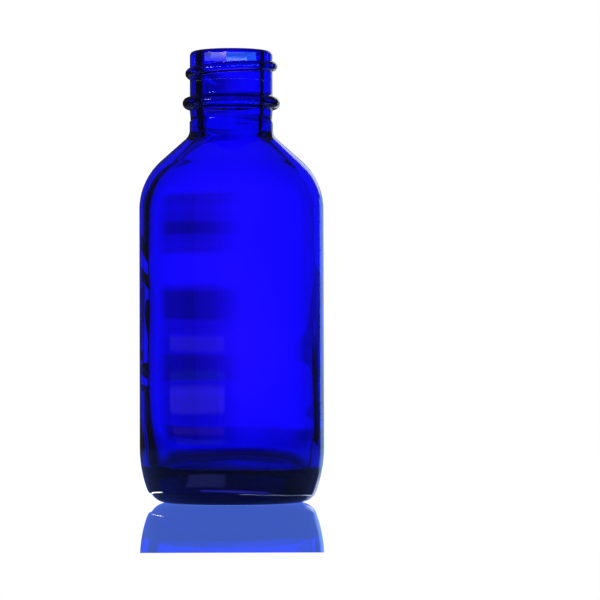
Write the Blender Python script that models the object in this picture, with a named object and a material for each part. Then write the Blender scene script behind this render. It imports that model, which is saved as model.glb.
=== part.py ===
"""Boston round bottle with a screw finish, blown in one piece of blue glass.

The one glass skin carries the sealing lip, the finish wall with its thread, the transfer
bead, the neck, the rounded shoulder, the straight body, the heel and the pushed-up base.
Lengths are in metres. +Z runs up the axis from the surface the bottle stands on, and the
front faces -Y.
"""

import math

import bmesh
import bpy

# Overall sizes
overall_height = 0.0950
body_diameter = 0.0388
body_wall = 0.00195

# Lip and finish wall
finish_diameter = 0.01745
bore_diameter = 0.0129
lip_outer_radius = 0.0010
lip_inner_radius = 0.00055

# Screw thread, right-handed, one start
thread_depth = 0.00102
thread_width = 0.0020
thread_pitch = 0.003175
thread_drop = 0.0040
thread_start = math.radians(105)
thread_run = math.radians(325)
thread_lead_in = math.radians(95)
thread_run_out = math.radians(65)

# Transfer bead
bead_drop = 0.0110
bead_width = 0.0027
bead_reach = 0.00153

# Neck below the bead
neck_diameter = 0.01757
neck_waist_diameter = 0.01715
neck_ring_drop = 0.01463
neck_ring_step = 0.00035
neck_end_drop = 0.0166
neck_fillet_radius = 0.0027
throat_diameter = 0.0117
throat_fillet_radius = 0.0040

# Shoulder
shoulder_radius = 0.01362
shoulder_lean = math.radians(48.3)

# Heel and base
heel_sweep_radius = 0.0263
heel_sweep_turn = math.radians(19.9)
heel_radius = 0.00397
match_line_height = 0.00170
match_line_rise = 0.00020
match_line_ledge = 0.00014
bearing_ring_width = 0.0009
push_up_height = 0.0014
inner_heel_radius = 0.0060
floor_edge_height = 0.0060
floor_crown_height = 0.0073

# Mesh fineness
turn_steps = 60
thread_steps = 8
bead_steps = 7
lip_steps = 5
bore_edge_steps = 3
fillet_steps = 4
taper_steps = 4
shoulder_steps = 8
sweep_steps = 4
heel_steps = 6
heel_top_steps = 2
push_up_steps = 5
floor_steps = 5
sharp_edge = math.radians(35)

# Glass
glass_color = (0.012, 0.004, 0.75, 1.0)
glass_roughness = 0.02
glass_index = 1.52

body_radius = body_diameter / 2
bore_radius = bore_diameter / 2
finish_radius = finish_diameter / 2
full_turn = 2 * math.pi
quarter_turn = math.pi / 2
front_angle = 3 * quarter_turn


def swing(centre, reach, start, end, steps):
    """Points round centre from one angle to another, the first one left out.

    reach is a radius, or a pair of half axes. Angles are measured up from the level
    that points away from the bottle's axis.
    """
    across, up = reach if isinstance(reach, tuple) else (reach, reach)
    points = []
    for step in range(1, steps + 1):
        angle = start + (end - start) * step / steps
        points.append((centre[0] + across * math.cos(angle), centre[1] + up * math.sin(angle)))
    return points


def ease(share):
    """Smooth climb from 0 to 1."""
    return (1 - math.cos(math.pi * share)) / 2


def base_profile():
    """From the axis out over the push-up, the bearing ring and the heel, up to the body."""
    sweep_foot_radius = body_radius - heel_sweep_radius * (1 - math.cos(heel_sweep_turn))
    sweep_foot_height = heel_radius * (1 - math.sin(heel_sweep_turn))
    sweep_top_height = sweep_foot_height + heel_sweep_radius * math.sin(heel_sweep_turn)
    heel_centre = (sweep_foot_radius - heel_radius * math.cos(heel_sweep_turn), heel_radius)

    # The bottom plate of the mould is a little smaller than the body mould above it.
    plate_centre = (heel_centre[0] - match_line_ledge, heel_radius)
    ring_inner_radius = plate_centre[0] - bearing_ring_width
    plate_turn = math.asin(1 - match_line_height / heel_radius)
    ledge_turn = math.asin(1 - (match_line_height + match_line_rise) / heel_radius)

    points = [(0, push_up_height)]
    points += swing((0, 0), (ring_inner_radius, push_up_height), quarter_turn, 0, push_up_steps)
    points.append((plate_centre[0], 0))
    points += swing(plate_centre, heel_radius, -quarter_turn, -plate_turn, heel_steps)
    points.append((
        heel_centre[0] + heel_radius * math.cos(ledge_turn),
        heel_centre[1] - heel_radius * math.sin(ledge_turn),
    ))
    points += swing(heel_centre, heel_radius, -ledge_turn, -heel_sweep_turn, heel_top_steps)
    sweep_centre = (body_radius - heel_sweep_radius, sweep_top_height)
    points += swing(sweep_centre, heel_sweep_radius, -heel_sweep_turn, 0, sweep_steps)
    return points


def shoulder_centre_height():
    """Height at which the body ends and the shoulder's arc begins."""
    neck_end = overall_height - neck_end_drop
    cone_top_radius = neck_diameter / 2 + neck_fillet_radius * (1 - math.cos(shoulder_lean))
    cone_top_height = neck_end - neck_fillet_radius * math.sin(shoulder_lean)
    cone_foot_radius = body_radius - shoulder_radius * (1 - math.cos(shoulder_lean))
    cone_drop = (cone_foot_radius - cone_top_radius) / math.tan(shoulder_lean)
    return cone_top_height - cone_drop - shoulder_radius * math.sin(shoulder_lean)


def shoulder_profile():
    """From the body up over the shoulder's arc and cone to the foot of the neck."""
    centre = (body_radius - shoulder_radius, shoulder_centre_height())
    points = [(body_radius, centre[1])]
    points += swing(centre, shoulder_radius, 0, shoulder_lean, shoulder_steps)
    neck_end = overall_height - neck_end_drop
    fillet_centre = (neck_diameter / 2 + neck_fillet_radius, neck_end)
    lean_side = math.pi + shoulder_lean
    points.append((
        fillet_centre[0] + neck_fillet_radius * math.cos(lean_side),
        fillet_centre[1] + neck_fillet_radius * math.sin(lean_side),
    ))
    points += swing(fillet_centre, neck_fillet_radius, lean_side, math.pi, fillet_steps)
    return points


def neck_profile():
    """From the neck up past the neck ring's parting step and over the bead."""
    ring_height = overall_height - neck_ring_drop
    bead_centre = (finish_radius, overall_height - bead_drop)
    points = [
        (neck_diameter / 2, ring_height - neck_ring_step),
        (neck_waist_diameter / 2, ring_height),
        (finish_radius, bead_centre[1] - bead_width / 2),
    ]
    reach = (bead_reach, bead_width / 2)
    points += swing(bead_centre, reach, -quarter_turn, quarter_turn, bead_steps)
    return points


def lip_profile():
    """From the finish wall over the sealing lip and into the bore."""
    outer_centre = (finish_radius - lip_outer_radius, overall_height - lip_outer_radius)
    inner_centre = (bore_radius + lip_inner_radius, overall_height - lip_inner_radius)
    points = [(finish_radius, outer_centre[1])]
    points += swing(outer_centre, lip_outer_radius, 0, quarter_turn, lip_steps)
    points.append((inner_centre[0], overall_height))
    points += swing(inner_centre, lip_inner_radius, quarter_turn, math.pi, bore_edge_steps)
    return points


def inside_profile():
    """From the bore down through the throat, along the inner wall and over the floor."""
    arc_centre = (body_radius - shoulder_radius, shoulder_centre_height())
    arc_radius = shoulder_radius - body_wall
    cone_foot = (
        arc_centre[0] + arc_radius * math.cos(shoulder_lean),
        arc_centre[1] + arc_radius * math.sin(shoulder_lean),
    )
    throat_radius = throat_diameter / 2
    cone_top_radius = throat_radius + throat_fillet_radius * (1 - math.cos(shoulder_lean))
    cone_top_height = cone_foot[1] + (cone_foot[0] - cone_top_radius) / math.tan(shoulder_lean)
    throat_height = cone_top_height + throat_fillet_radius * math.sin(shoulder_lean)
    bead_height = overall_height - bead_drop

    points = []
    for step in range(taper_steps + 1):
        share = step / taper_steps
        points.append((
            bore_radius + (throat_radius - bore_radius) * ease(share),
            bead_height + (throat_height - bead_height) * share,
        ))
    fillet_centre = (throat_radius + throat_fillet_radius, throat_height)
    lean_side = math.pi + shoulder_lean
    points += swing(fillet_centre, throat_fillet_radius, math.pi, lean_side, fillet_steps)
    points.append(cone_foot)
    points += swing(arc_centre, arc_radius, shoulder_lean, 0, shoulder_steps)

    inner_radius = body_radius - body_wall
    floor_radius = inner_radius - inner_heel_radius
    heel_centre = (floor_radius, floor_edge_height + inner_heel_radius)
    points.append((inner_radius, heel_centre[1]))
    points += swing(heel_centre, inner_heel_radius, 0, -quarter_turn, heel_steps)
    crown = floor_crown_height - floor_edge_height
    for step in range(1, floor_steps + 1):
        share = 1 - step / floor_steps
        points.append((floor_radius * share, floor_edge_height + crown * (1 - ease(share))))
    return points


def thread_point(across, angle):
    """Where one line of the thread lies at one angle round the neck.

    across runs from -1 at the thread's lower foot to 1 at its upper foot. Behind the
    neck, past the thread's end, the lines run back down to its start in the plain wall.
    """
    climb_rate = thread_pitch / full_turn
    run = (angle - thread_start) % full_turn
    if run < thread_run:
        climb = climb_rate * run
        rise = ease(min(run / thread_lead_in, 1)) * ease(min((thread_run - run) / thread_run_out, 1))
    else:
        gap_share = (run - thread_run) / (full_turn - thread_run)
        climb = climb_rate * thread_run * (1 - ease(gap_share))
        rise = 0
    front_climb = climb_rate * (front_angle - thread_start)
    middle = overall_height - thread_drop + climb - front_climb
    radius = finish_radius + thread_depth * rise * math.sqrt(max(0, 1 - across ** 2))
    return radius, middle + across * thread_width / 2


def level_row(point):
    """A row at the same radius and height all the way round."""
    return lambda angle: point


def thread_row(across):
    """A row that follows the thread."""
    return lambda angle: thread_point(across, angle)


def skin_rows():
    """Every row of the skin, from the middle of the base up, over the lip and down inside.

    A row is a function that gives a radius and a height at an angle round the axis.
    """
    below_thread = base_profile() + shoulder_profile() + neck_profile()
    above_thread = lip_profile() + inside_profile()
    thread_lines = [-math.cos(math.pi * step / thread_steps) for step in range(thread_steps + 1)]
    rows = [level_row(point) for point in below_thread]
    rows += [thread_row(across) for across in thread_lines]
    rows += [level_row(point) for point in above_thread]
    return rows


def ring_of(mesh, row):
    """Vertices of one row: a ring, or a single one where the row is a point on the axis."""
    if row(0)[0] == 0:
        return [mesh.verts.new((0, 0, row(0)[1]))]
    ring = []
    for step in range(turn_steps):
        angle = full_turn * step / turn_steps
        radius, height = row(angle)
        ring.append(mesh.verts.new((radius * math.cos(angle), radius * math.sin(angle), height)))
    return ring


def join_rings(mesh, lower, upper):
    """Faces between two rings, or between a ring and a point on the axis."""
    for step in range(turn_steps):
        after = (step + 1) % turn_steps
        if len(lower) == 1:
            mesh.faces.new((lower[0], upper[after], upper[step]))
        elif len(upper) == 1:
            mesh.faces.new((lower[step], lower[after], upper[0]))
        else:
            mesh.faces.new((lower[step], lower[after], upper[after], upper[step]))


def make_glass():
    """Clear cobalt blue glass."""
    material = bpy.data.materials.new("cobalt_glass")
    material.use_nodes = True
    shader = material.node_tree.nodes["Principled BSDF"]
    shader.inputs["Base Color"].default_value = glass_color
    shader.inputs["Roughness"].default_value = glass_roughness
    shader.inputs["IOR"].default_value = glass_index
    shader.inputs["Metallic"].default_value = 0
    shader.inputs["Transmission Weight"].default_value = 1
    material.diffuse_color = glass_color
    return material


def make_bottle():
    """The glass bottle, standing on its bearing ring at the origin."""
    skin = bmesh.new()
    rings = [ring_of(skin, row) for row in skin_rows()]
    for lower, upper in zip(rings, rings[1:]):
        join_rings(skin, lower, upper)
    bmesh.ops.recalc_face_normals(skin, faces=skin.faces)
    mesh = bpy.data.meshes.new("glass_bottle")
    skin.to_mesh(mesh)
    skin.free()
    mesh.shade_smooth()
    mesh.set_sharp_from_angle(angle=sharp_edge)
    mesh.materials.append(make_glass())
    bottle = bpy.data.objects.new("glass_bottle", mesh)
    bpy.context.scene.collection.objects.link(bottle)
    return bottle


for leftover in list(bpy.data.objects):
    bpy.data.objects.remove(leftover)

make_bottle()
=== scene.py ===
import math

import bpy
import numpy as np
from mathutils import Matrix, Vector


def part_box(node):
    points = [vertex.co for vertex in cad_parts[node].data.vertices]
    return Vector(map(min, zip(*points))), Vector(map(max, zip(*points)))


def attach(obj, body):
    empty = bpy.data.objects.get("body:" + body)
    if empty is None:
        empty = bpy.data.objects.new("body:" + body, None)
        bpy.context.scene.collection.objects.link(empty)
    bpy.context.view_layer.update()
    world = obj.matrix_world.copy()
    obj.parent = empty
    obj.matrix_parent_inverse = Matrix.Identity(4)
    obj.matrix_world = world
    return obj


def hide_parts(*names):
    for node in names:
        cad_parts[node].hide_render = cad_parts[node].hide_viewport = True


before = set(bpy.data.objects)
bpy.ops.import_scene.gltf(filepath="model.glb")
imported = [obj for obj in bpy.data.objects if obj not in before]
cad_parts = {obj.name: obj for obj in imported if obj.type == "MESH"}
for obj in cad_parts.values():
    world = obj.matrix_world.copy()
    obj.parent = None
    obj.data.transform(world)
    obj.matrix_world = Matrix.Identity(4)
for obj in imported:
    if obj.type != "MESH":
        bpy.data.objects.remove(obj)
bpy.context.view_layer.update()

glass_low, glass_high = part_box("glass_bottle")

# Overall sizes in metres, read from the frame
overall_height = glass_high.z - glass_low.z
body_radius = (glass_high.x - glass_low.x) / 2
body_wall = 0.00198

# Lip and finish wall
finish_radius = 0.008725
bore_radius = 0.00630
lip_outer_radius = 0.0010
lip_inner_radius = 0.00055

# Screw thread
thread_depth = 0.00102
thread_width = 0.0020
thread_pitch = 0.003175
thread_drop = 0.0040
thread_start = math.radians(105)
thread_run = math.radians(325)
thread_lead_in = math.radians(95)
thread_run_out = math.radians(65)
thread_foot_width = 0.00030
thread_crest_power = 0.9

# Transfer bead
bead_drop = 0.0110
bead_width = 0.0027
bead_reach = 0.00153
bead_foot_radius = 0.00030

# Neck
neck_radius = 0.008785
neck_waist_radius = 0.008575
neck_ring_drop = 0.01463
neck_ring_step = 0.00035
neck_end_drop = 0.0166
neck_fillet_radius = 0.0027
throat_radius = 0.00585
throat_fillet_radius = 0.0040

# Shoulder
shoulder_radius = 0.01362
shoulder_lean = math.radians(48.3)

# Heel
heel_sweep_radius = 0.0263
heel_sweep_turn = math.radians(19.9)
heel_radius = 0.00397

# Match line between the base plate and the mould, which tilts a little to one side
match_line_height = 0.00170
match_line_rise = 0.00020
match_line_ledge = 0.00020
match_line_tilt = 0.012
match_line_tilt_reach = 0.0009
match_line_tilt_top = 0.005

# Base plate, shifted a little off the axis
plate_shift = 0.00018
plate_level_radius = 0.014
bearing_ring_width = 0.0009
push_up_height = 0.0014

# Foot of the wall and floor, inside
foot_top = 0.0175
foot_depth = 0.0011
corner_radius = 0.0030
floor_edge_height = 0.0057
floor_crown_height = 0.0073
floor_reach_height = 0.02
floor_tilt = 0.010
floor_lift_front, floor_lift_back = 0.0008, 0.0009
floor_lift_back_breadth = 1.6

# Knurl of the bearing ring and seams of the mould
knurl_count = 72
knurl_depth = 0.00010
knurl_bar_share, knurl_edge_sharpness = 0.5, 1.5
seam_angles = (math.radians(8.5), math.radians(188.5))
seam_height = 0.00004
seam_width = math.radians(0.25)
seam_foot = 0.003
seam_columns = (-1.4, -0.6, 0, 0.6, 1.4)

# Unevenness of the blown inside, and its waves: depth, how many round, rate upwards, start
foot_swell = 0.00022
foot_swell_top, foot_swell_low = 0.030, 0.012
foot_shift = 0.00022
foot_shift_top, foot_shift_low = 0.024, 0.010
even_below_lip = 0.004
even_middle_share = 0.2
wall_waves = (
    (0.00004, 2, 140.0, 0.4),
    (0.00003, 3, 95.0, 2.1),
    (0.00002, 5, 230.0, 4.0),
)

# Fineness of the skin
longest_row_gap = 0.0012
smallest_gap = 1e-9
arc_step = math.radians(3.5)
column_count = 360
ring_steps = 4
bore_steps, foot_steps, floor_steps = 12, 12, 16
thread_section_steps = 20
bead_to_thread_rows, thread_to_lip_rows = 8, 6
foot_lean_rounds = 8

full_turn = 2 * math.pi
quarter_turn = math.pi / 2
front_angle = 3 * quarter_turn

# Surface of the glass: ripples by scale, detail and depth, the colour inside, and how it bends light
glass_ripples = (
    (70, 1, 0.000003),
    (900, 2, 0.0000002),
)
cobalt_colour = (0.2536, 0.0, 0.937)
cobalt_density = 1750
glass_ior = 1.52

# Light behind the bottle: angles in degrees, to the right from behind, and up from level
panel_left, panel_right = -28, 44
panel_edge = 1.5
panel_top, panel_top_off_floor = 30, 60
panel_top_edge = 3
panel_strength = 1.90
wide_rises = ((1.26, 2.00), (0.17, 0.60), (-1.39, -1.15))
wide_panel_left = -42
side_panels = (72, 108)
front_panel_from = (158, 162)
side_edge, band_edge = 2, 0.05

# Dark bars of those panels: from and to upwards, from and to round
rim_bars = (
    (2.06, 2.95, -42, -14),
    (0.64, 1.20, -42, -12),
    (0.17, 0.60, -29, -10),
    (-0.35, 0.12, -42, -18),
    (-1.39, -1.15, -20, -5),
)

# Darker stretches of those panels, for the corner of the base and for the floor mirrored in it
corner_shade = 0.5
corner_turns, corner_rises, corner_edge = (3, 17), (-1.5, 0.45), 0.12
off_floor_shade = 0.62
off_floor_turns, off_floor_rises, off_floor_edge = (-6, 10), (5.5, 12), 1.5
off_floor_top = (16, 20)

# Light that the surface mirrors: side, from and to round, from and to upwards, soft edge, colour
mirror_ambient = (0.035, 0.035, 0.050)
mirror_side_edge = 1.5
mirror_lights = (
    ("behind", 6, 33, -60, 7, 1.5, (0.36, 0.60, 0.85)),
    ("behind", 8, 25, 7, 24, 1.5, (1.10, 1.25, 1.50)),
    ("before", -82, -8, 0.12, 0.38, 0.06, (0.20, 0.14, 0.14)),
    ("before", -82, -8, -0.46, -0.26, 0.06, (0.05, 0.12, 0.10)),
    ("before", -82, -8, -1.03, -0.55, 0.06, (0.28, 0.20, 0.18)),
    ("before", -82, -8, -1.41, -1.28, 0.05, (0.20, 0.09, 0.09)),
    ("before", -82, -8, -1.80, -1.50, 0.06, (0.10, 0.11, 0.08)),
)

# The same, only for light that has passed the films before the lip, and before the neck
lip_lights = (
    (-78, -12, 5.37, 17, 0.02, (1.0, 1.2, 6.0)),
    (-58, -12, 5.44, 17, 0.05, (3.0, 3.3, 16.0)),
    (-30, -12, 5.49, 17, 0.04, (6.5, 5.5, 20.0)),
    (-12, 75, 5.37, 17, 0.02, (0.3, 1.8, 14.0)),
    (-12, 45, 5.37, 5.43, 0.03, (3.5, 6.0, 8.0)),
)
glint = (-66, -50, 16, 26, 1.0, (6.0, 6.0, 6.0))

# Clear films in half circles before the neck and the lip, which tell what each of them mirrors
neck_films = (0.0300, 0.0304, 0.0308)
neck_film_heights = (0.0905, 0.130)
lip_films = (0.0190, 0.0193, 0.0196)
lip_film_heights = (0.0930, 0.130)
film_spread, film_steps = 100, 36

# Limits between whole counts of the surfaces that a ray has passed or been mirrored by
switch_edge = 0.1
once_passed, twice_passed = 0.5, 1.5
floor_film_only = (0.5, 2.5)
past_neck_films, past_lip_films = 2.5, 4.5
inside_passed = 3.5

# Floor, which ends where the photograph cuts its reflection
floor_near, floor_far = (-1.5, -0.171), (1.5, 6)
acrylic_height, floor_film_height = -0.00003, -0.00001
# The floor is white only to camera rays; to every other ray it is painted near black, a painted shade that
# the glass shows through it and mirrors
floor_white, floor_painted_shade_grey = (0.95, 0.95, 0.95), (0.05, 0.05, 0.05)
floor_ior = 1.5
floor_full_mirror = 0.42

# Painted blue light on the floor, an emission that stands in for light through the bottle, and painted small
# lights at the foot
# Each has its nearest and furthest place, from and to round, soft edge, share seen again, colour
painted_blue_glow_colour = (0.045, 0.098, 0.48)
painted_glow_reach = (0.15, 0.40)
painted_glow_mirrored_share = 0.5
# Painted highlights: floor patches that glow only for mirrored rays, so the glass shows them as reflections
# at its foot
painted_foot_highlights = (
    (0.0225, 0.0330, -40, -5, 0.0006, 0.0, (0.30, 0.42, 2.4)),
    (0.0200, 0.0209, -25, 32, 0.0002, 0.0, (0.50, 0.50, 12.0)),
    (0.0187, 0.0190, 8, 88, 0.0001, 0.0, (10.0, 12.0, 19.0)),
    (0.0188, 0.0194, -94, -66, 0.0001, 0.5, (32.0, 32.0, 32.0)),
)
painted_highlights_middle = (-0.0006, -0.00095, 0.0)

# Card behind the bottle: blocks from and to, gaps and bars by middle and half height
card_depth, card_height, card_margin = 0.030, 0.12, 0.001
card_left, card_full, card_fade, card_end = -0.0243, -0.0170, 0.0008, 0.0050
card_fade_share = 0.55
card_blocks = ((0.0534, 0.0679), (0.0060, 0.0464))
card_block_shade, card_block_edge = 0.50, 0.0010
card_gaps = ((0.0636, 0.0008), (0.0551, 0.0006), (0.0353, 0.0009), (0.0219, 0.0006), (0.0134, 0.0008))
card_gap_shade, card_gap_edge = 0.42, 0.0007
card_bars = ((0.0590, 0.0020), (0.0420, 0.0037), (0.0279, 0.0036), (0.0105, 0.0030))
card_bar_shade, card_bar_edge = 0.78, 0.0012
neck_bars = ((0.0901, 0.0022, 0.80), (0.0840, 0.0010, 0.80), (0.0817, 0.0012, 0.75))
neck_bar_edge = 0.0007
card_lines = (-0.0104, -0.0033)
card_line_width, card_line_shade = 0.00012, 0.10

# Dark strip to the right behind the bottle, and where its dark fades out upwards
strip_left, strip_right, strip_depth = 0.0343, 0.0600, 0.030
strip_top = (0.0300, 0.0430)

# Soft light from above
lamp_place, lamp_aim = (0, 0.1, 1.2), (0, 0.1, 0)
lamp_side, lamp_power = 1.6, 4

# Camera
camera_place = (0.014404, -0.664, 0.0306)
camera_aim = (0.014404, 0, 0.04251)
camera_roll = math.radians(-0.152)
sensor_width, lens_length = 36, 189.07
clip_near, clip_far = 0.01, 50

# Places of the colour sockets in a Mix node
mix_under, mix_over, mix_result = 6, 7, 2


def ease(share):
    """Smooth climb from 0 to 1, held at both ends."""
    held = np.clip(share, 0, 1)
    return (1 - np.cos(np.pi * held)) / 2


def fallen(height, top, low):
    """Smooth share of the way down from top to low."""
    return float(ease((top - height) / (top - low)))


def arc(centre, reach, start, end, step=arc_step):
    """Points round centre from one angle to another, both ends included."""
    across, up = reach if isinstance(reach, tuple) else (reach, reach)
    count = max(2, math.ceil(abs(end - start) / step))
    angles = [start + (end - start) * i / count for i in range(count + 1)]
    return [(centre[0] + across * math.cos(a), centre[1] + up * math.sin(a)) for a in angles]


def spread(points):
    """The same outline with long straight stretches cut into short ones."""
    fine = [points[0]]
    for here in points[1:]:
        last = fine[-1]
        gap = math.dist(last, here)
        if gap < smallest_gap:
            continue
        cuts = math.ceil(gap / longest_row_gap)
        for i in range(1, cuts + 1):
            share = i / cuts
            fine.append((last[0] + (here[0] - last[0]) * share, last[1] + (here[1] - last[1]) * share))
    return fine


def shoulder_centre_height():
    """Height of the centre of the shoulder's arc, below the fillet and the cone of the neck."""
    neck_end = overall_height - neck_end_drop
    cone_top_radius = neck_radius + neck_fillet_radius * (1 - math.cos(shoulder_lean))
    cone_top_height = neck_end - neck_fillet_radius * math.sin(shoulder_lean)
    cone_foot_radius = body_radius - shoulder_radius * (1 - math.cos(shoulder_lean))
    cone_drop = (cone_foot_radius - cone_top_radius) / math.tan(shoulder_lean)
    return cone_top_height - cone_drop - shoulder_radius * math.sin(shoulder_lean)


def heel_sizes():
    """Centre of the heel's lower arc, and the height where its upper arc ends."""
    foot_radius = body_radius - heel_sweep_radius * (1 - math.cos(heel_sweep_turn))
    foot_height = heel_radius * (1 - math.sin(heel_sweep_turn))
    sweep_top_height = foot_height + heel_sweep_radius * math.sin(heel_sweep_turn)
    centre = (foot_radius - heel_radius * math.cos(heel_sweep_turn), heel_radius)
    return centre, sweep_top_height


def plate_outline():
    """From the axis over the push-up, the bearing ring and the heel to the match line."""
    centre, _ = heel_sizes()
    centre = (centre[0] - match_line_ledge, centre[1])
    ring_inner_radius = centre[0] - bearing_ring_width
    plate_turn = math.asin(1 - match_line_height / heel_radius)
    points = arc((0, 0), (ring_inner_radius, push_up_height), quarter_turn, 0)
    points[0] = (0, push_up_height)
    for i in range(1, ring_steps):
        points.append((ring_inner_radius + bearing_ring_width * i / ring_steps, 0))
    points += arc(centre, heel_radius, -quarter_turn, -plate_turn)
    return spread(points)


def body_outline():
    """From the match line up the heel, the body, the shoulder and the neck, and over the bead."""
    centre, sweep_top_height = heel_sizes()
    ledge_turn = math.asin(1 - (match_line_height + match_line_rise) / heel_radius)
    points = arc(centre, heel_radius, -ledge_turn, -heel_sweep_turn)
    sweep_centre = (body_radius - heel_sweep_radius, sweep_top_height)
    points += arc(sweep_centre, heel_sweep_radius, -heel_sweep_turn, 0, step=arc_step / 2)

    centre = (body_radius - shoulder_radius, shoulder_centre_height())
    points += arc(centre, shoulder_radius, 0, shoulder_lean, step=arc_step / 2)
    neck_end = overall_height - neck_end_drop
    fillet_centre = (neck_radius + neck_fillet_radius, neck_end)
    points += arc(fillet_centre, neck_fillet_radius, math.pi + shoulder_lean, math.pi)

    ring_height = overall_height - neck_ring_drop
    points.append((neck_radius, ring_height - neck_ring_step))
    points.append((neck_waist_radius, ring_height))
    bead_centre = (finish_radius, overall_height - bead_drop)
    bead_reaches = (bead_reach, bead_width / 2)
    points.append((finish_radius, bead_centre[1] - bead_width / 2 - bead_foot_radius))
    points += arc(bead_centre, bead_reaches, -quarter_turn, quarter_turn, step=2 * arc_step)
    return spread(points)


def lip_outline():
    """Over the rounded lip, from the finish wall to the bore."""
    outer_centre = (finish_radius - lip_outer_radius, overall_height - lip_outer_radius)
    inner_centre = (bore_radius + lip_inner_radius, overall_height - lip_inner_radius)
    points = arc(outer_centre, lip_outer_radius, 0, quarter_turn)
    points += arc(inner_centre, lip_inner_radius, quarter_turn, math.pi, step=3 * arc_step)
    return spread(points)


def foot_sizes():
    """Height where the foot's lean ends, that lean, and the centre of the corner below it."""
    lean = 0.0
    for _ in range(foot_lean_rounds):
        low = floor_edge_height + corner_radius * (1 - math.sin(lean))
        lean = math.atan(2 * foot_depth / (foot_top - low))
    edge_radius = body_radius - body_wall - foot_depth
    centre = (edge_radius - corner_radius * math.cos(lean), floor_edge_height + corner_radius)
    return low, lean, centre


def bore_outline(throat_height):
    """From the lip down the narrowing bore to the throat."""
    bead_height = overall_height - bead_drop
    points = [(bore_radius, overall_height - lip_inner_radius)]
    for i in range(bore_steps + 1):
        share = i / bore_steps
        points.append((
            bore_radius + (throat_radius - bore_radius) * float(ease(share)),
            bead_height + (throat_height - bead_height) * share,
        ))
    return points


def foot_and_floor_outline():
    """From the wall down its leaning foot, round the corner and over the floor to the axis."""
    low, lean, centre = foot_sizes()
    points = []
    for i in range(foot_steps + 1):
        share = i / foot_steps
        leaning_radius = body_radius - body_wall - foot_depth * share ** 2
        points.append((leaning_radius, foot_top + (low - foot_top) * share))
    points += arc(centre, corner_radius, -lean, -quarter_turn)
    crown = floor_crown_height - floor_edge_height
    for i in range(1, floor_steps + 1):
        share = 1 - i / floor_steps
        points.append((centre[0] * share, floor_edge_height + crown * (1 - float(ease(share)))))
    return points


def inside_outline():
    """From the lip down the inside to the middle of the floor."""
    arc_centre = (body_radius - shoulder_radius, shoulder_centre_height())
    arc_radius = shoulder_radius - body_wall
    cone_foot = (
        arc_centre[0] + arc_radius * math.cos(shoulder_lean),
        arc_centre[1] + arc_radius * math.sin(shoulder_lean),
    )
    cone_top_radius = throat_radius + throat_fillet_radius * (1 - math.cos(shoulder_lean))
    cone_top_height = cone_foot[1] + (cone_foot[0] - cone_top_radius) / math.tan(shoulder_lean)
    throat_height = cone_top_height + throat_fillet_radius * math.sin(shoulder_lean)

    points = bore_outline(throat_height)
    fillet_centre = (throat_radius + throat_fillet_radius, throat_height)
    points += arc(fillet_centre, throat_fillet_radius, math.pi, math.pi + shoulder_lean)
    points += arc(arc_centre, arc_radius, shoulder_lean, 0, step=arc_step / 2)
    return spread(points + foot_and_floor_outline())


def thread_section():
    """Points across the thread: where, in half widths, and how high, from 0 to 1."""
    foot = 1 + thread_foot_width / thread_width
    section = [(-foot, 0.0)]
    for i in range(thread_section_steps + 1):
        turn = math.pi * i / thread_section_steps
        section.append((-math.cos(turn), math.sin(turn) ** thread_crest_power))
    section.append((foot, 0.0))
    return section


def thread_row(across, height_share, angles):
    """Radius and height of one line that runs along the thread and all the way round."""
    climb_rate = thread_pitch / full_turn
    run = np.mod(angles - thread_start, full_turn)
    on_thread = run < thread_run
    lead = ease(run / thread_lead_in) * ease((thread_run - run) / thread_run_out)
    rise = np.where(on_thread, lead, 0)
    gap_share = (run - thread_run) / (full_turn - thread_run)
    climb = climb_rate * np.where(on_thread, run, thread_run * (1 - ease(gap_share)))
    middle = overall_height - thread_drop + climb - climb_rate * (front_angle - thread_start)
    radius = finish_radius + thread_depth * rise * height_share
    return radius, middle + across * thread_width / 2


def blended_rows(low_row, high_row, count):
    """Rows between two rows, none of them included."""
    rows = []
    for i in range(1, count):
        share = i / count
        rows.append(tuple(a + (b - a) * share for a, b in zip(low_row, high_row)))
    return rows


def column_angles():
    """Angles of the skin's columns, with some more of them at the seams."""
    angles = [full_turn * i / column_count for i in range(column_count)]
    for seam in seam_angles:
        angles += [seam + seam_width * step for step in seam_columns]
    return np.array(sorted(angles))


def seam_rise(angles):
    """How far the seams stand out from the wall."""
    rise = 0
    for seam in seam_angles:
        rise = rise + np.exp(-((angles - seam) / seam_width) ** 2)
    return seam_height * rise


def knurl(angles, radius):
    """How far the bearing ring is cut back between the bars of its knurl."""
    centre, _ = heel_sizes()
    ring_middle = centre[0] - match_line_ledge - bearing_ring_width / 2
    near = np.exp(-((radius - ring_middle) / bearing_ring_width) ** 4)
    bar = ease(knurl_bar_share + knurl_edge_sharpness * np.cos(knurl_count * angles))
    return knurl_depth * near * (1 - bar)


def uneven(angles, height):
    """How far the blown inside stands out from a true round."""
    swell = -foot_swell * fallen(height, foot_swell_top, foot_swell_low)
    for size, turns, rate, start in wall_waves:
        swell = swell + size * np.sin(turns * angles + rate * height + start)
    return swell


def placed(angles, radius, height, shift=0.0):
    """One row of points round the axis, or round a place shifted to the right."""
    heights = height * np.ones_like(angles)
    return np.stack([radius * np.cos(angles) + shift, radius * np.sin(angles), heights], axis=1)


def plate_rows(angles):
    """Underside with its knurl, shifted with the base plate and tilted towards the match line."""
    plate_radius = heel_sizes()[0][0]
    rows = []
    for radius, height in plate_outline():
        share = min(1, radius / plate_radius)
        tilt = 0
        if radius > plate_level_radius:
            tilt = match_line_tilt * max(0, height) / match_line_height * radius * np.cos(angles)
        rows.append(placed(angles, radius, height - tilt + knurl(angles, radius), plate_shift * share))
    return rows


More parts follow.
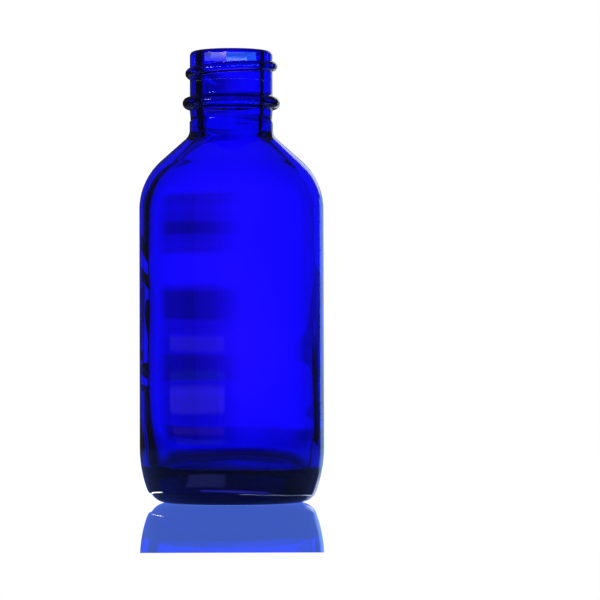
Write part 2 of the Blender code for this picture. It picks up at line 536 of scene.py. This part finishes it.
def body_rows(angles):
    """Outside up to the bead, with its seams and the tilt of the match line."""
    rows = []
    for radius, height in body_outline():
        near_line = 0
        if height < match_line_tilt_top:
            near_line = math.exp(-((height - match_line_height) / match_line_tilt_reach) ** 2)
        tilt = match_line_tilt * near_line * radius * np.cos(angles)
        seam = seam_rise(angles) if height > seam_foot else 0
        rows.append(placed(angles, radius + seam, height - tilt))
    return rows


def finish_rows(angles):
    """Finish wall above the bead, with the thread and the lip."""
    flat = np.ones_like(angles)
    bead_top = (finish_radius * flat, (overall_height - bead_drop + bead_width / 2) * flat)
    thread = [thread_row(across, share, angles) for across, share in thread_section()]
    lip = [(radius * flat, height * flat) for radius, height in lip_outline()]
    rows = blended_rows(bead_top, thread[0], bead_to_thread_rows) + thread
    rows += blended_rows(thread[-1], lip[0], thread_to_lip_rows) + lip
    return [placed(angles, radius, height) for radius, height in rows]


def inside_rows(angles):
    """Blown inside, from the bore to the middle of the floor, with its unevenness."""
    right, back = np.cos(angles), np.sin(angles)
    floor_lift = floor_lift_front * np.clip(-back, 0, 1) ** 2
    floor_lift = floor_lift + floor_lift_back * ease(floor_lift_back_breadth * back)
    lip_foot = overall_height - lip_inner_radius
    floor_radius = foot_sizes()[2][0]
    rows = []
    for radius, height in inside_outline()[1:]:
        to_axis = min(1, radius / floor_radius) if height < floor_reach_height else 1
        calm = fallen(height, lip_foot, lip_foot - even_below_lip) * to_axis
        swell = uneven(angles, height) * calm * min(1, radius / body_radius + even_middle_share)
        shift = foot_shift * fallen(height, foot_shift_top, foot_shift_low) * to_axis
        near_floor = fallen(height, foot_top, floor_edge_height)
        tilt = near_floor * floor_tilt * radius * right
        lift = near_floor * to_axis * floor_lift
        rows.append(placed(angles, radius + swell, height - tilt + lift, shift))
    return rows


def skin_faces(starts, single, columns):
    """Faces between each row and the next, where a row may be a single point."""
    faces = []
    for i in range(len(starts) - 1):
        a, b = starts[i], starts[i + 1]
        for j in range(columns):
            k = (j + 1) % columns
            if single[i]:
                faces.append((a, b + k, b + j))
            elif single[i + 1]:
                faces.append((a + j, a + k, b))
            else:
                faces.append((a + j, a + k, b + k, b + j))
    return faces


def make_skin():
    """The whole bottle as one closed skin, from the middle of the base up and down inside."""
    angles = column_angles()
    rows = plate_rows(angles) + body_rows(angles) + finish_rows(angles) + inside_rows(angles)
    vertices = []
    starts = []
    single = []
    for row in rows:
        starts.append(len(vertices))
        is_point = float(np.ptp(row[:, 0])) < smallest_gap
        single.append(is_point)
        kept = row[:1] if is_point else row
        vertices += [tuple(point) for point in kept.tolist()]
    mesh = bpy.data.meshes.new("bottle_glass")
    mesh.from_pydata(vertices, [], skin_faces(starts, single, len(angles)))
    mesh.shade_smooth()
    mesh.update()
    piece = bpy.data.objects.new("bottle_glass", mesh)
    bpy.context.scene.collection.objects.link(piece)
    return piece


class Maths:
    """Short ways to put value nodes in a node tree. Angles are given in degrees."""

    def __init__(self, tree):
        self.nodes = tree.nodes
        self.links = tree.links

    def feed(self, socket, value):
        if isinstance(value, (int, float)):
            socket.default_value = value
        else:
            self.links.new(value, socket)

    def work(self, kind, *values):
        node = self.nodes.new("ShaderNodeMath")
        node.operation = kind
        for socket, value in zip(node.inputs, values):
            self.feed(socket, value)
        return node.outputs["Value"]

    def plus(self, one, other):
        return self.work("ADD", one, other)

    def minus(self, one, other):
        return self.work("SUBTRACT", one, other)

    def rest(self, share):
        return self.minus(1.0, share)

    def times(self, first, *others):
        for other in others:
            first = self.work("MULTIPLY", first, other)
        return first

    def most(self, first, *others):
        for other in others:
            first = self.work("MAXIMUM", first, other)
        return first

    def step(self, value, low, high, to_low=0.0, to_high=1.0):
        """Smooth climb between two values."""
        node = self.nodes.new("ShaderNodeMapRange")
        node.interpolation_type = "SMOOTHSTEP"
        for name, number in (("From Min", low), ("From Max", high), ("To Min", to_low), ("To Max", to_high)):
            self.feed(node.inputs[name], number)
        self.feed(node.inputs["Value"], value)
        return node.outputs["Result"]

    def above(self, count, limit):
        return self.step(count, limit - switch_edge, limit + switch_edge)

    def below(self, count, limit, otherwise=0.0):
        return self.step(count, limit - switch_edge, limit + switch_edge, 1.0, otherwise)

    def between(self, value, low, high, edge):
        up = self.step(value, low - edge, low + edge)
        down = self.step(value, high - edge, high + edge, 1.0, 0.0)
        return self.times(up, down)

    def turn_step(self, turn, low, high, to_low=0.0, to_high=1.0):
        return self.step(turn, math.radians(low), math.radians(high), to_low, to_high)

    def turn_between(self, turn, low, high, edge):
        return self.between(turn, math.radians(low), math.radians(high), math.radians(edge))

    def facing(self, axes):
        """Angle to the right from before the bottle."""
        return self.work("ARCTAN2", axes["X"], self.times(axes["Y"], -1.0))

    def paint(self, under, mask, over):
        """One colour over another where the mask is 1."""
        node = self.nodes.new("ShaderNodeMix")
        node.data_type = "RGBA"
        self.feed(node.inputs["Factor"], mask)
        for socket, colour in ((node.inputs[mix_under], under), (node.inputs[mix_over], over)):
            if isinstance(colour, tuple):
                socket.default_value = (*colour, 1)
            else:
                self.links.new(colour, socket)
        return node.outputs[mix_result]

    def axes_of(self, vector):
        node = self.nodes.new("ShaderNodeSeparateXYZ")
        self.links.new(vector, node.inputs["Vector"])
        return node.outputs


def rim_bar_mask(maths, azimuth, rise, past_inside):
    """Bars that only the light inside the wall meets."""
    rim = 0.0
    for low, high, left, right in rim_bars:
        bar = maths.times(maths.turn_between(rise, low, high, band_edge),
                          maths.turn_between(azimuth, left, right, side_edge))
        rim = maths.most(rim, bar)
    return maths.times(rim, maths.rest(past_inside))


def panel_shade(maths, azimuth, rise, off_floor_behind):
    """How much darker the panels are for the corner of the base and for the mirrored floor."""
    corner = maths.times(
        maths.turn_step(azimuth, *corner_turns),
        maths.turn_between(rise, *corner_rises, corner_edge),
        corner_shade,
    )
    off_floor = maths.times(
        maths.turn_between(rise, *off_floor_rises, off_floor_edge),
        maths.turn_step(azimuth, *off_floor_turns, 0.0, off_floor_shade),
        off_floor_behind,
    )
    return maths.most(corner, off_floor)


def white_panels(maths, azimuth, rise, past_inside, off_floor_behind):
    """Mask of the bright panels round the bottle, as the glass shows them."""
    edge = math.radians(panel_edge)
    right_end = math.radians(panel_right)
    wide = 0.0
    for low, high in wide_rises:
        wide = maths.plus(wide, maths.turn_between(rise, low, high, band_edge))
    left_end = maths.step(wide, 0, 1, math.radians(panel_left), math.radians(wide_panel_left))
    from_left = maths.step(maths.minus(azimuth, left_end), -edge, edge)
    from_right = maths.step(azimuth, right_end - edge, right_end + edge, 1.0, 0.0)
    rim = rim_bar_mask(maths, azimuth, rise, past_inside)
    shade = panel_shade(maths, azimuth, rise, off_floor_behind)
    behind = maths.times(from_left, from_right, maths.rest(maths.most(rim, shade)))

    side = maths.work("ABSOLUTE", azimuth)
    at_sides = maths.turn_between(side, *side_panels, side_edge)
    before = maths.turn_step(side, *front_panel_from)
    panels = maths.most(behind, at_sides, before)
    top = maths.step(off_floor_behind, 0, 1, math.radians(panel_top), math.radians(panel_top_off_floor))
    low_enough = maths.turn_step(maths.minus(top, rise), -panel_top_edge, panel_top_edge)
    return maths.times(panels, low_enough)


def mirrored_light(maths, azimuth, facing, rise, films_passed, first_mirror):
    """Colour of what the outer surface mirrors."""

    def lay(colour, turn, light, limit=1.0):
        left, right, bottom, top, edge, shine = light
        mask = maths.times(
            maths.turn_between(turn, left, right, mirror_side_edge),
            maths.turn_between(rise, bottom, top, edge),
            limit,
        )
        return maths.paint(colour, mask, shine)

    colour = mirror_ambient
    for side, *light in mirror_lights:
        colour = lay(colour, azimuth if side == "behind" else facing, light)
    past_neck = maths.times(maths.above(films_passed, past_neck_films), first_mirror)
    past_lip = maths.times(maths.above(films_passed, past_lip_films), first_mirror)
    for light in lip_lights:
        colour = lay(colour, facing, light, past_lip)
    return lay(colour, facing, glint, past_neck)


def studio_colour(maths, path, axes):
    """Colour of the studio, by direction and by the way in which the light is seen."""
    azimuth = maths.work("ARCTAN2", axes["X"], axes["Y"])
    facing = maths.facing(axes)
    rise = maths.work("ARCSINE", axes["Z"])

    through = path["Is Transmission Ray"]
    films_passed = path["Transparent Depth"]
    after_glass = maths.above(path["Transmission Depth"], once_passed)
    past_inside = maths.above(path["Transmission Depth"], inside_passed)
    first_mirror = maths.below(path["Glossy Depth"], twice_passed)
    mirrored = maths.most(maths.minus(path["Is Glossy Ray"], through), 0.0)
    mirrored_behind = maths.times(after_glass, mirrored)
    off_floor_behind = maths.times(mirrored_behind, maths.above(films_passed, once_passed))

    panels = white_panels(maths, azimuth, rise, past_inside, off_floor_behind)
    bright = maths.times(panels, maths.most(through, mirrored_behind))
    bare = maths.times(mirrored, maths.rest(after_glass))
    off_floor = maths.times(
        maths.between(films_passed, *floor_film_only, switch_edge),
        first_mirror,
        maths.turn_step(rise, *off_floor_top, 1.0, 0.0),
        bare,
    )
    lit = maths.most(path["Is Diffuse Ray"], path["Is Camera Ray"], off_floor)

    mirrors = mirrored_light(maths, azimuth, facing, rise, films_passed, first_mirror)
    colour = maths.paint((0.0, 0.0, 0.0), bare, mirrors)
    colour = maths.paint(colour, bright, (panel_strength, panel_strength, panel_strength))
    return maths.paint(colour, lit, (1.0, 1.0, 1.0))


def make_world():
    world = bpy.data.worlds.new("studio")
    bpy.context.scene.world = world
    world.use_nodes = True
    tree = world.node_tree
    tree.nodes.clear()
    maths = Maths(tree)
    out = tree.nodes.new("ShaderNodeOutputWorld")
    back = tree.nodes.new("ShaderNodeBackground")
    path = tree.nodes.new("ShaderNodeLightPath")
    place = tree.nodes.new("ShaderNodeTexCoord")
    colour = studio_colour(maths, path.outputs, maths.axes_of(place.outputs["Generated"]))
    tree.links.new(colour, back.inputs["Color"])
    tree.links.new(back.outputs["Background"], out.inputs["Surface"])


def cobalt_glass():
    """Deep blue glass, coloured through its thickness, with faint ripples in its surface."""
    material = bpy.data.materials.new("cobalt_glass")
    material.use_nodes = True
    nodes, links = material.node_tree.nodes, material.node_tree.links
    shader = nodes["Principled BSDF"]
    shader.inputs["Base Color"].default_value = (1, 1, 1, 1)
    shader.inputs["Metallic"].default_value = 0
    shader.inputs["Roughness"].default_value = 0
    shader.inputs["IOR"].default_value = glass_ior
    shader.inputs["Transmission Weight"].default_value = 1
    absorb = nodes.new("ShaderNodeVolumeAbsorption")
    absorb.inputs["Color"].default_value = (*cobalt_colour, 1)
    absorb.inputs["Density"].default_value = cobalt_density
    links.new(absorb.outputs["Volume"], nodes["Material Output"].inputs["Volume"])

    place = nodes.new("ShaderNodeTexCoord")
    normal = None
    for scale, detail, depth in glass_ripples:
        ripple = nodes.new("ShaderNodeTexNoise")
        ripple.inputs["Scale"].default_value = scale
        ripple.inputs["Detail"].default_value = detail
        links.new(place.outputs["Object"], ripple.inputs["Vector"])
        bump = nodes.new("ShaderNodeBump")
        bump.inputs["Strength"].default_value = 1
        bump.inputs["Distance"].default_value = depth
        links.new(ripple.outputs["Fac"], bump.inputs["Height"])
        if normal is not None:
            links.new(normal, bump.inputs["Normal"])
        normal = bump.outputs["Normal"]
    links.new(normal, shader.inputs["Normal"])
    return material


def bare_material(name):
    """A material with nothing but its output."""
    material = bpy.data.materials.new(name)
    material.use_nodes = True
    tree = material.node_tree
    tree.nodes.clear()
    out = tree.nodes.new("ShaderNodeOutputMaterial")
    return material, tree, Maths(tree), out.inputs["Surface"]


def clear_film():
    material, tree, _, surface = bare_material("clear_film")
    clear = tree.nodes.new("ShaderNodeBsdfTransparent")
    tree.links.new(clear.outputs["BSDF"], surface)
    return material


def let_through(tree, surface, light):
    """Surface that lets a share of the light through, the same for each colour."""
    join = tree.nodes.new("ShaderNodeCombineColor")
    for name in ("Red", "Green", "Blue"):
        tree.links.new(light, join.inputs[name])
    clear = tree.nodes.new("ShaderNodeBsdfTransparent")
    tree.links.new(join.outputs["Color"], clear.inputs["Color"])
    tree.links.new(clear.outputs["BSDF"], surface)


def card_bands(maths, height):
    """How dark the card is by height: blocks with thin gaps, and darker bars."""
    dark = 0.0
    for low, high in card_blocks:
        block = maths.between(height, low, high, card_block_edge)
        dark = maths.most(dark, maths.times(block, card_block_shade))
    for middle, half in card_gaps:
        gap = maths.between(height, middle - half, middle + half, card_gap_edge)
        dark = maths.minus(dark, maths.times(gap, card_block_shade - card_gap_shade))
    for middle, half in card_bars:
        bar = maths.between(height, middle - half, middle + half, card_bar_edge)
        dark = maths.most(dark, maths.times(bar, card_bar_shade))
    for middle, half, shade in neck_bars:
        bar = maths.between(height, middle - half, middle + half, neck_bar_edge)
        dark = maths.most(dark, maths.times(bar, shade))
    return dark


def barred_card():
    """Thin card that takes some of the light away in soft bars, with thin lines down it."""
    material, tree, maths, surface = bare_material("barred_card")
    place = tree.nodes.new("ShaderNodeNewGeometry")
    axes = maths.axes_of(place.outputs["Position"])
    across, height = axes["X"], axes["Z"]
    dark = maths.times(
        card_bands(maths, height),
        maths.step(across, card_left, card_full),
        maths.step(across, 2 * card_fade - card_end, card_end, 1.0, 0.0),
        maths.step(across, card_full, card_fade, 1.0, card_fade_share),
    )
    for middle in card_lines:
        line = maths.between(across, middle - card_line_width, middle + card_line_width, card_line_width)
        dark = maths.plus(dark, maths.times(line, card_line_shade))
    let_through(tree, surface, maths.rest(dark))
    return material


def dark_strip():
    """Card that takes all the light away below a soft top edge."""
    material, tree, maths, surface = bare_material("dark_strip")
    place = tree.nodes.new("ShaderNodeNewGeometry")
    height = maths.axes_of(place.outputs["Position"])["Z"]
    let_through(tree, surface, maths.step(height, *strip_top))
    return material


def distance_from(tree, place, middle):
    """Distance of each place from a point."""
    apart = tree.nodes.new("ShaderNodeVectorMath")
    apart.operation = "DISTANCE"
    tree.links.new(place, apart.inputs[0])
    apart.inputs[1].default_value = middle
    return apart.outputs["Value"]


def painted_floor_glow(maths, tree, path):
    """Painted blue light from the bottle on the floor, an emission, and the painted small lights at its
    foot.
    """
    place = tree.nodes.new("ShaderNodeNewGeometry").outputs["Position"]
    mirrored = maths.minus(path["Is Glossy Ray"], path["Is Transmission Ray"])
    near = maths.step(distance_from(tree, place, (0, 0, 0)), *painted_glow_reach, 1.0, 0.0)
    lit_for = maths.most(path["Is Camera Ray"], maths.times(mirrored, painted_glow_mirrored_share))

    facing = maths.facing(maths.axes_of(place))
    off_middle = distance_from(tree, place, painted_highlights_middle)
    colour = painted_blue_glow_colour
    # Painted highlights: each patch glows only for mirrored rays, and the glass mirrors it at its foot
    for low, high, left, right, edge, seen_again, shine in painted_foot_highlights:
        patch = maths.times(
            maths.between(off_middle, low, high, edge),
            maths.turn_between(facing, left, right, side_edge),
            mirrored,
            maths.below(path["Glossy Depth"], twice_passed, seen_again),
        )
        colour = maths.paint(colour, patch, shine)
    # Painted light: the floor glows blue near the bottle for camera rays, and half as much for mirrored rays
    veil = tree.nodes.new("ShaderNodeEmission")
    tree.links.new(maths.times(near, lit_for), veil.inputs["Strength"])
    tree.links.new(colour, veil.inputs["Color"])
    return veil.outputs["Emission"]


def polished_acrylic():
    """White sheet that mirrors at a low angle, white only to the camera and painted near black to other rays
    as shade, with painted blue light from the bottle on it.
    """
    material, tree, maths, surface = bare_material("white_acrylic")
    nodes, links = tree.nodes, tree.links
    path = nodes.new("ShaderNodeLightPath").outputs
    diffuse = nodes.new("ShaderNodeBsdfDiffuse")
    # Painted shade: near black to every ray but the camera's, so the floor seen in the glass stays dark
    links.new(maths.paint(floor_painted_shade_grey, path["Is Camera Ray"], floor_white), diffuse.inputs["Color"])
    gloss = nodes.new("ShaderNodeBsdfGlossy")
    gloss.inputs["Color"].default_value = (1, 1, 1, 1)
    gloss.inputs["Roughness"].default_value = 0.0
    fresnel = nodes.new("ShaderNodeFresnel")
    fresnel.inputs["IOR"].default_value = floor_ior
    sheet = nodes.new("ShaderNodeMixShader")
    links.new(maths.step(fresnel.outputs["Fac"], 0.0, floor_full_mirror), sheet.inputs[0])
    links.new(diffuse.outputs["BSDF"], sheet.inputs[1])
    links.new(gloss.outputs["BSDF"], sheet.inputs[2])
    both = nodes.new("ShaderNodeAddShader")
    links.new(sheet.outputs["Shader"], both.inputs[0])
    links.new(painted_floor_glow(maths, tree, path), both.inputs[1])
    links.new(both.outputs["Shader"], surface)
    return material


def hide_from(thing, *kinds):
    """Leaves a lamp or card out of what these kinds of ray meet."""
    for kind in kinds:
        setattr(thing, f"visible_{kind}", False)


def stage_mesh(name, points, faces, material):
    """A mesh of the studio, which isn't part of the bottle."""
    mesh = bpy.data.meshes.new(name)
    mesh.from_pydata(points, [], faces)
    mesh.materials.append(material)
    thing = bpy.data.objects.new(name, mesh)
    bpy.context.scene.collection.objects.link(thing)
    return thing


def floor_sheet(name, height, material):
    (left, near), (right, far) = floor_near, floor_far
    points = [(left, near, height), (right, near, height), (right, far, height), (left, far, height)]
    stage_mesh(name, points, [(0, 1, 2, 3)], material)


def upright_card(name, left, right, depth, material):
    """Card behind the bottle, there only for the light that comes through the glass."""
    points = [(left, depth, 0), (right, depth, 0), (right, depth, card_height), (left, depth, card_height)]
    card = stage_mesh(name, points, [(0, 1, 2, 3)], material)
    hide_from(card, "camera", "glossy", "diffuse", "shadow")


def half_ring(name, radius, heights, material):
    """Upright clear film in a half circle before the bottle, there only for what the glass mirrors."""
    low, high = heights
    first, swing = -math.radians(film_spread), 2 * math.radians(film_spread)
    turns = [first + swing * i / film_steps for i in range(film_steps + 1)]
    foot = [(radius * math.sin(turn), -radius * math.cos(turn), low) for turn in turns]
    top = [(x, y, high) for x, y, _ in foot]
    faces = [(i, i + 1, i + 2 + film_steps, i + 1 + film_steps) for i in range(film_steps)]
    ring = stage_mesh(name, foot + top, faces, material)
    hide_from(ring, "camera", "diffuse", "transmission", "shadow")


def make_lamp():
    """Soft light from above that falls on the floor."""
    data = bpy.data.lights.new("top_softbox", "AREA")
    data.shape = "RECTANGLE"
    data.size, data.size_y = lamp_side, lamp_side
    data.energy = lamp_power
    lamp = bpy.data.objects.new("top_softbox", data)
    lamp.location = lamp_place
    direction = Vector(lamp_aim) - Vector(lamp_place)
    lamp.rotation_euler = direction.to_track_quat("-Z", "Y").to_euler()
    bpy.context.scene.collection.objects.link(lamp)
    hide_from(lamp, "camera", "glossy", "transmission")


def make_stage():
    """Floor, films, cards and lamp."""
    floor_sheet("acrylic_sheet", acrylic_height, polished_acrylic())
    film = clear_film()
    floor_sheet("floor_film", floor_film_height, film)
    for i, radius in enumerate(neck_films):
        half_ring(f"neck_film_{i + 1}", radius, neck_film_heights, film)
    for i, radius in enumerate(lip_films):
        half_ring(f"lip_film_{i + 1}", radius, lip_film_heights, film)
    upright_card("column_card", card_left - card_margin, card_end + card_margin, card_depth, barred_card())
    upright_card("side_strip", strip_left, strip_right, strip_depth, dark_strip())
    make_lamp()


def make_camera():
    data = bpy.data.cameras.new("camera")
    data.sensor_width = sensor_width
    data.lens = lens_length
    data.clip_start, data.clip_end = clip_near, clip_far
    camera = bpy.data.objects.new("camera", data)
    bpy.context.scene.collection.objects.link(camera)
    place, aim = Vector(camera_place), Vector(camera_aim)
    turn = (aim - place).to_track_quat("-Z", "Y").to_matrix().to_4x4()
    camera.matrix_world = Matrix.Translation(place) @ turn @ Matrix.Rotation(camera_roll, 4, "Z")
    bpy.context.scene.camera = camera


make_camera()
make_world()
make_stage()

bottle = make_skin()
bottle.data.materials.append(cobalt_glass())
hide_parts("glass_bottle")
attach(bottle, "root")

bpy.context.scene.view_settings.view_transform = "Standard"
